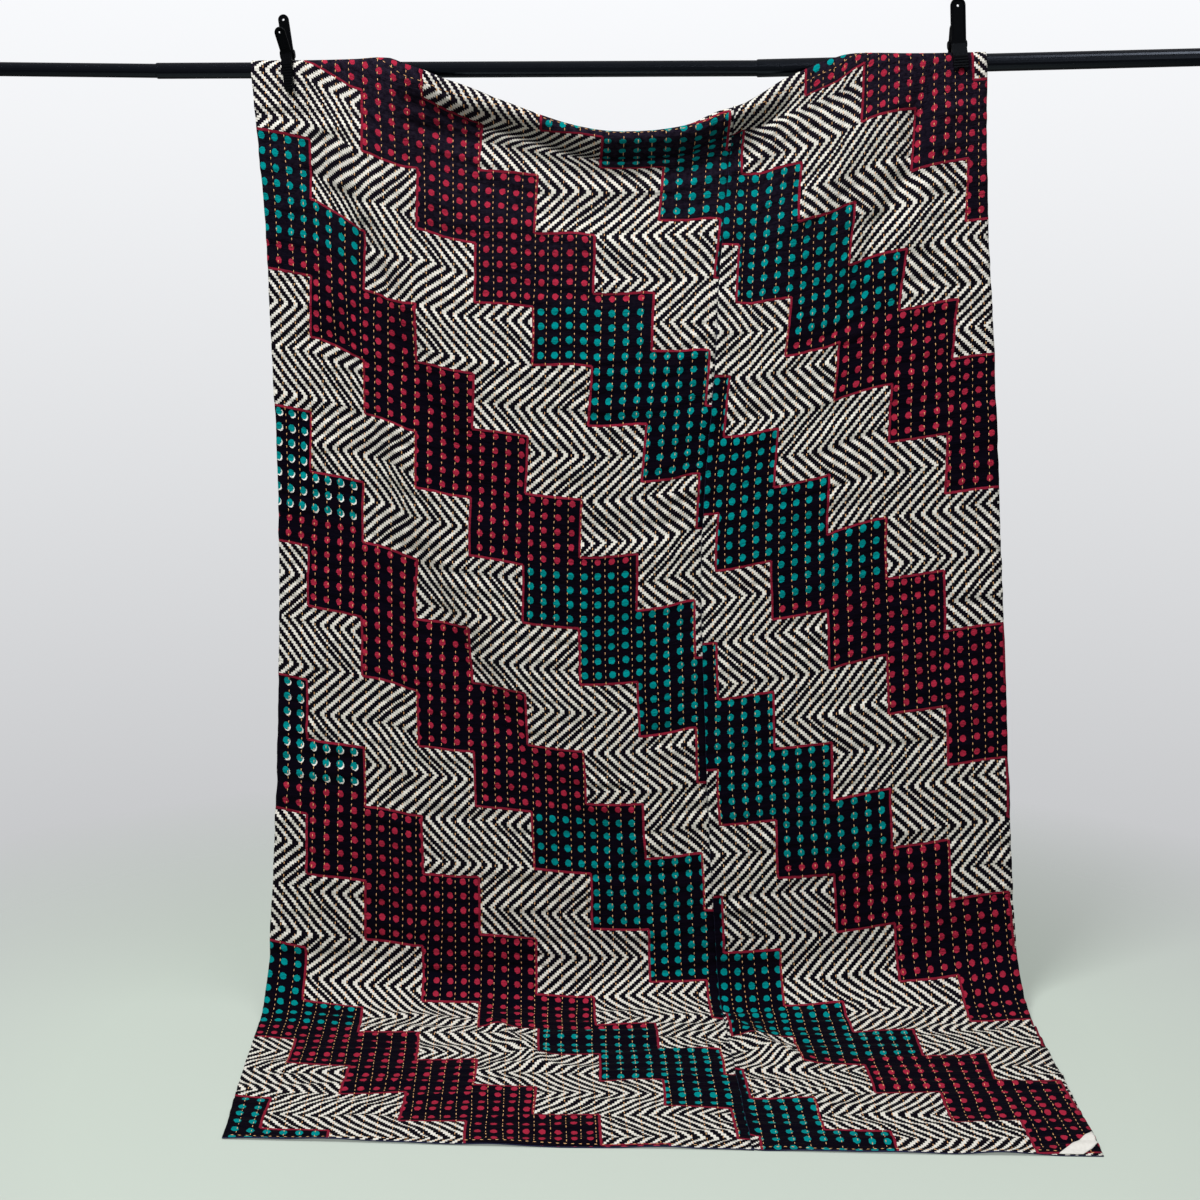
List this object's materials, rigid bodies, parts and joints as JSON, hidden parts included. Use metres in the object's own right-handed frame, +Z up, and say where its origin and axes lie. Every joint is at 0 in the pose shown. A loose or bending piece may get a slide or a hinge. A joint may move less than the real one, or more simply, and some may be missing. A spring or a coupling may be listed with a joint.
{
  "type": "kantha quilt hung over a crossbar by spring clamps",
  "caption": "Stitched kantha quilt of joined printed panels, hung over a black telescopic crossbar by spring clamps, its top edge sagging between them and its lower end lying on the floor.",
  "frame": {"origin": "on the floor, under the middle of the whole part's footprint", "axes": "+X along the crossbar to the viewer's right, +Y away from the viewer, +Z up"},
  "size_m": [2.0004, 0.6806, 1.6371],
  "materials": {
    "quilt": "printed cotton layers, puckered by lines of running stitch",
    "label": "plain white woven tape",
    "bar": "satin black coating on steel tube",
    "clamp": "satin black moulded nylon",
    "spring": "bright spring wire"
  },
  "bodies": {
    "root": {"quilt_left_panel": "quilt", "quilt_right_panel": "quilt", "corner_label": "label", "bar_left_tube": "bar", "bar_middle_tube": "bar", "bar_right_tube": "bar", "left_clamp_front_lever": "clamp", "left_clamp_back_lever": "clamp", "left_clamp_pin": "clamp", "left_clamp_spring": "spring", "right_clamp_front_lever": "clamp", "right_clamp_back_lever": "clamp", "right_clamp_pin": "clamp", "right_clamp_spring": "spring"}
  },
  "joints": []
}
